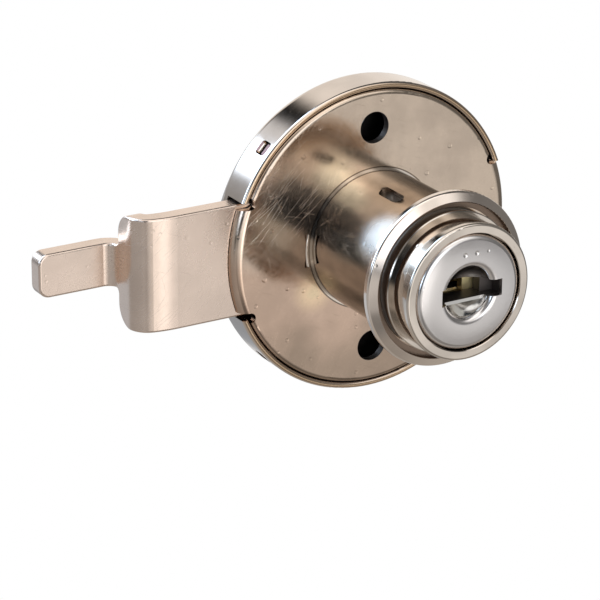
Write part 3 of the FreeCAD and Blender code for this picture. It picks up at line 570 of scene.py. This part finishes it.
def behind_crest(nodes, place):
    """1 on the collar's sunken floor and inner wall, which are painted dark as a painted shade."""
    radius, y = radius_and_y(nodes, place)
    return nodes.times(nearer_than(nodes, radius, CREST_R), beyond(nodes, y, CREST_Y))


def inside_keyway(nodes, place):
    """1 on the walls of the keyway, which are painted dark as a painted shade."""
    within = nearer_than(nodes, height_from_axis(nodes, place), KEYWAY_HALF, KEYWAY_SOFT)
    return nodes.times(within, beyond(nodes, nodes.split(place)[1], KEYWAY_FRONT_Y))


def fan_of_scuffs(nodes, place):
    """1 at the plate's upper left, where the hairlines crowd, and little elsewhere."""
    return nodes.ramp(distance_from(nodes, place, SCUFF_CENTRE), *SCUFF_REACH, 1.0, SCUFF_ELSEWHERE)


def rubbed_by_collar(nodes, place):
    """1 where the collar has dulled the barrel's polish, behind it at the upper left."""
    near = nodes.ramp(distance_from(nodes, place, RUBBED_CENTRE), *RUBBED_REACH, 1.0, 0.0)
    return nodes.times(near, beyond(nodes, nodes.split(place)[1], RUBBED_FRONT_Y))


def shaded_below(nodes, place, tint):
    """The plate's tint, painted darker and browner towards its lowest edge as a painted shade."""
    patches = nodes.math("SUBTRACT", nodes.noise(place, PATCH_SCALE, *EDGE_DETAIL), 0.5)
    height = nodes.raised(nodes.split(place)[2], patches, DRIFT_WANDER)
    return nodes.mix(nodes.ramp(height, *LOW_SHADE_HEIGHTS), tint, LOW_SHADE_TINT)


FINISHES = {
    "case_nickel": dict(
        tint=(0.80, 0.70, 0.62), roughness=0.085, spread=0.03, specks=0.3, peel=0.4,
        recess_shade=inside_case, rust_and_reflection=rim_gold_reflection, rust_and_reflection_colour=RIM_REFLECTION_COLOUR,
    ),
    "plate_nickel": dict(
        tint=PLATE_TINT, far_tint=PLATE_FAR_TINT, tint_shift=0.09, roughness=0.155, spread=0.04,
        hairlines=1.1, specks=0.6, peel=1.0, scuffs=fan_of_scuffs, places=PLATE_HIGHLIGHT_PLACES, painted_low_shade=True,
        recess_shade=behind_plate, rust_and_reflection=lug_ends, seam=seam_round_foot,
    ),
    "barrel_nickel": dict(
        tint=(0.76, 0.67, 0.58), tint_shift=0.15, roughness=0.10, spread=0.02, grain_share=0.15,
        specks=0.3, peel=0.4, rubbed=rubbed_by_collar, places=BARREL_SHADE_PLACES,
        recess_shade=inside_barrel, shade_colour=BARREL_RECESS_SHADE_COLOUR, seam=seam_round_foot,
    ),
    "collar_nickel": dict(
        tint=(0.95, 0.83, 0.73), roughness=0.12, spread=0.03, grain_share=0.2, specks=0.3, peel=0.3,
        recess_shade=behind_crest, shade_colour=GROOVE_SHADE_COLOUR,
    ),
    "plug_grey": dict(
        tint=(0.66, 0.64, 0.61), roughness=0.12, spread=0.03, grain_share=0.1, specks=0.1, peel=0.2,
        recess_shade=inside_keyway,
    ),
    "face_satin": dict(
        tint=(0.86, 0.81, 0.78), tint_shift=0.04, roughness=0.22, spread=0.03, grain_share=0.2,
        specks=0.05, peel=0.2,
    ),
    "bolt_nickel": dict(
        tint=(0.885, 0.715, 0.60), roughness=0.25, spread=0.03, grain_share=0.2,
        hairlines=0.08, specks=0.4, peel=0.6,
    ),
    "brass": dict(tint=(1.0, 0.80, 0.44), roughness=0.36, spread=0.05, peel=0.4),
    "zinc_steel": dict(tint=(0.62, 0.62, 0.63), roughness=0.28, spread=0.08, peel=0.5),
    "spring_steel": dict(tint=(0.50, 0.50, 0.52), roughness=0.25, spread=0.05, peel=0.2),
}


def dress_nodes():
    """Gives every CAD node the material of its slot in the record."""
    materials = {name: metal(name, **finish) for name, finish in FINISHES.items()}
    for part in frame["record"]["subparts"]:
        node = frame["nodes"][part["node"]]
        node.data.materials.clear()
        node.data.materials.append(materials[part["material_slot"]])


make_camera()
make_world()
make_floor()
dress_nodes()
bpy.context.scene.view_settings.view_transform = "Standard"
